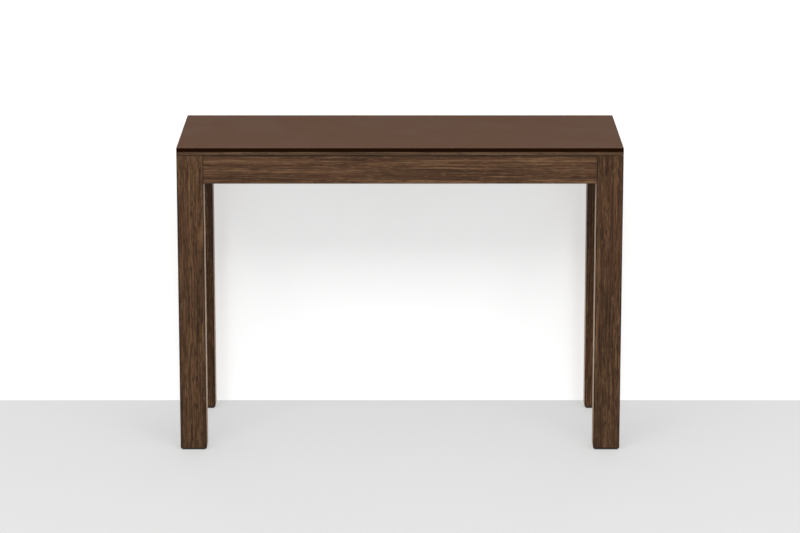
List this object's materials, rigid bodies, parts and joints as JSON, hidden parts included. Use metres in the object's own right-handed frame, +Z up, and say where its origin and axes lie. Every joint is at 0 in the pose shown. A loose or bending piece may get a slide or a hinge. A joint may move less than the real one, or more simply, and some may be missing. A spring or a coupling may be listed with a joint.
{
  "type": "extending console table",
  "caption": "Narrow console table of stained oak with a brown glass top, whose front frame pulls out on telescopic side rails to make a long table.",
  "frame": {"origin": "on the floor under the middle of the closed table", "axes": "+X to the right along the width, -Y out of the front, +Z up"},
  "size_m": [1.1, 0.45, 0.77],
  "materials": {
    "brown_glass": "back-painted, smooth, polished edges",
    "stained_oak": "dark stain, open straight grain, matt lacquer",
    "plain_beech": "planed, uncoated",
    "rail_aluminium": "anodised, drawn along its length",
    "glide_nylon": "moulded",
    "zinc_steel": "zinc plated",
    "foot_plastic": "moulded",
    "bumper_rubber": "matt"
  },
  "bodies": {
    "rear_frame": {"closing_bumpers": "bumper_rubber", "rear_apron": "stained_oak", "rear_corner_bolts": "zinc_steel", "rear_corner_brackets": "zinc_steel", "rear_cross_rail": "plain_beech", "rear_dowels": "plain_beech", "rear_feet": "foot_plastic", "rear_left_leg": "stained_oak", "rear_left_rail": "rail_aluminium", "rear_left_side_apron": "stained_oak", "rear_rail_angles": "zinc_steel", "rear_rail_bolts": "zinc_steel", "rear_rail_glides": "glide_nylon", "rear_right_leg": "stained_oak", "rear_right_rail": "rail_aluminium", "rear_right_side_apron": "stained_oak", "rear_screws": "zinc_steel", "rear_top_pads": "glide_nylon"},
    "rail_stage_1": {"left_rail_1": "rail_aluminium", "rail_glides_1": "glide_nylon", "right_rail_1": "rail_aluminium"},
    "rail_stage_2": {"left_rail_2": "rail_aluminium", "rail_glides_2": "glide_nylon", "right_rail_2": "rail_aluminium"},
    "rail_stage_3": {"left_rail_3": "rail_aluminium", "rail_glides_3": "glide_nylon", "right_rail_3": "rail_aluminium"},
    "rail_stage_4": {"left_rail_4": "rail_aluminium", "rail_glides_4": "glide_nylon", "right_rail_4": "rail_aluminium"},
    "rail_stage_5": {"left_rail_5": "rail_aluminium", "rail_glides_5": "glide_nylon", "right_rail_5": "rail_aluminium"},
    "rail_stage_6": {"left_rail_6": "rail_aluminium", "rail_glides_6": "glide_nylon", "right_rail_6": "rail_aluminium"},
    "rail_stage_7": {"left_rail_7": "rail_aluminium", "rail_glides_7": "glide_nylon", "right_rail_7": "rail_aluminium"},
    "front_frame": {"front_apron": "stained_oak", "front_corner_bolts": "zinc_steel", "front_corner_brackets": "zinc_steel", "front_dowels": "plain_beech", "front_feet": "foot_plastic", "front_left_leg": "stained_oak", "front_left_rail": "rail_aluminium", "front_left_side_apron": "stained_oak", "front_rail_angles": "zinc_steel", "front_rail_bolts": "zinc_steel", "front_rail_glides": "glide_nylon", "front_right_leg": "stained_oak", "front_right_rail": "rail_aluminium", "front_right_side_apron": "stained_oak", "front_screws": "zinc_steel", "front_top_spacers": "glide_nylon", "glass_top": "brown_glass", "panel_screws": "zinc_steel", "top_clips": "zinc_steel", "top_panel": "stained_oak"}
  },
  "joints": [
    {"name": "pull_out", "type": "slide", "parent": "rear_frame", "child": "front_frame", "axis": [0, -1, 0], "range_m": [0, 2.5]},
    {"name": "rail_1_slide", "type": "slide", "parent": "rear_frame", "child": "rail_stage_1", "axis": [0, -1, 0], "range_m": [0, 0.3125]},
    {"name": "rail_2_slide", "type": "slide", "parent": "rear_frame", "child": "rail_stage_2", "axis": [0, -1, 0], "range_m": [0, 0.625]},
    {"name": "rail_3_slide", "type": "slide", "parent": "rear_frame", "child": "rail_stage_3", "axis": [0, -1, 0], "range_m": [0, 0.9375]},
    {"name": "rail_4_slide", "type": "slide", "parent": "rear_frame", "child": "rail_stage_4", "axis": [0, -1, 0], "range_m": [0, 1.25]},
    {"name": "rail_5_slide", "type": "slide", "parent": "rear_frame", "child": "rail_stage_5", "axis": [0, -1, 0], "range_m": [0, 1.5625]},
    {"name": "rail_6_slide", "type": "slide", "parent": "rear_frame", "child": "rail_stage_6", "axis": [0, -1, 0], "range_m": [0, 1.875]},
    {"name": "rail_7_slide", "type": "slide", "parent": "rear_frame", "child": "rail_stage_7", "axis": [0, -1, 0], "range_m": [0, 2.1875]}
  ],
  "couplings": [
    {"joint": "rail_1_slide", "follows": "pull_out", "ratio": 0.125},
    {"joint": "rail_2_slide", "follows": "pull_out", "ratio": 0.25},
    {"joint": "rail_3_slide", "follows": "pull_out", "ratio": 0.375},
    {"joint": "rail_4_slide", "follows": "pull_out", "ratio": 0.5},
    {"joint": "rail_5_slide", "follows": "pull_out", "ratio": 0.625},
    {"joint": "rail_6_slide", "follows": "pull_out", "ratio": 0.75},
    {"joint": "rail_7_slide", "follows": "pull_out", "ratio": 0.875}
  ]
}
